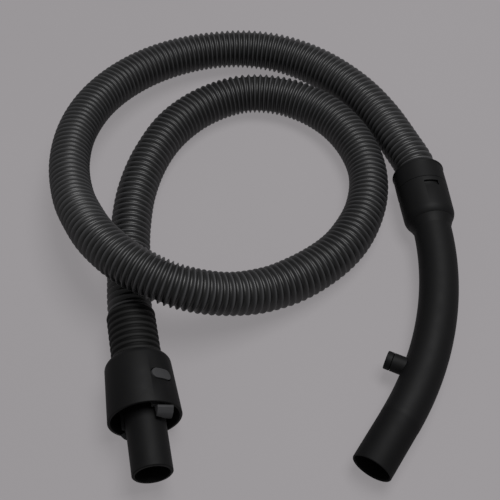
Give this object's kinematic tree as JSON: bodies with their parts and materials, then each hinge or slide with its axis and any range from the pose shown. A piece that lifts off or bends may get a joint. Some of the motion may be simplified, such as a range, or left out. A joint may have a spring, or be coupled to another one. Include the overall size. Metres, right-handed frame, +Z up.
{
  "type": "vacuum cleaner hose",
  "caption": "Ribbed vacuum cleaner hose in a loop, with a swivelling push-in machine connector with release latches and a curved swivelling handle tube with a vent knob.",
  "frame": {"origin": "on the table, midway between the outer edges of the rigid fittings seen from above", "axes": "+Z up from the table the hose lies on, +Y away from the fittings' free ends, +X from the machine connector towards the handle"},
  "size_m": [0.3803, 0.5037, 0.0856],
  "materials": {
    "hose_vinyl": "satin, dark metallic grey",
    "cuff_rubber": "matte",
    "black_plastic": "fine satin",
    "grey_plastic": "satin",
    "seal_rubber": "matte",
    "spring_steel": "bright"
  },
  "bodies": {
    "hose_line": {"hose": "hose_vinyl", "strain_relief_cuff": "cuff_rubber", "machine_nipple": "black_plastic", "machine_swivel_clip": "spring_steel", "machine_seal_ring": "seal_rubber", "handle_nipple": "black_plastic", "handle_swivel_clip": "spring_steel", "handle_seal_ring": "seal_rubber"},
    "connector": {"connector_barrel": "black_plastic", "spigot_tube": "black_plastic", "latch_pin_right": "spring_steel", "latch_pin_left": "spring_steel", "latch_spring_right": "spring_steel", "latch_spring_left": "spring_steel"},
    "latch_right": {"release_latch_right": "grey_plastic"},
    "latch_left": {"release_latch_left": "grey_plastic"},
    "handle": {"swivel_collar": "black_plastic", "handle_socket": "black_plastic", "handle_tube": "black_plastic"},
    "vent": {"vent_knob": "black_plastic", "vent_spring": "spring_steel", "vent_valve_disc": "seal_rubber", "vent_clip": "spring_steel"}
  },
  "joints": [
    {"name": "connector_swivel", "type": "hinge", "parent": "hose_line", "child": "connector", "pos_m": [-0.1279, -0.0533, 0.02736], "axis": [0.194, -0.9797, 0.051], "continuous": true},
    {"name": "latch_right_press", "type": "hinge", "parent": "connector", "child": "latch_right", "pos_m": [-0.11186, -0.06252, 0.04404], "axis": [0.7468, 0.1138, -0.6552], "range_deg": [0, 3], "stiffness_Nm_per_rad": 1.5, "springref_deg": -2.86, "deforming": ["latch_spring_right"]},
    {"name": "latch_left_press", "type": "hinge", "parent": "connector", "child": "latch_left", "pos_m": [-0.1389, -0.06955, 0.012], "axis": [-0.7468, -0.1138, 0.6552], "range_deg": [0, 3], "stiffness_Nm_per_rad": 1.5, "springref_deg": -2.86, "deforming": ["latch_spring_left"]},
    {"name": "handle_swivel", "type": "hinge", "parent": "hose_line", "child": "handle", "pos_m": [0.13407, 0.09377, 0.02329], "axis": [0.108, -0.9938, -0.0269], "continuous": true},
    {"name": "vent_turn", "type": "hinge", "parent": "handle", "child": "vent", "pos_m": [0.08537, -0.04865, 0.01962], "axis": [-0.9149, 0.4034, 0.0134], "range_deg": [0, 90]}
  ]
}
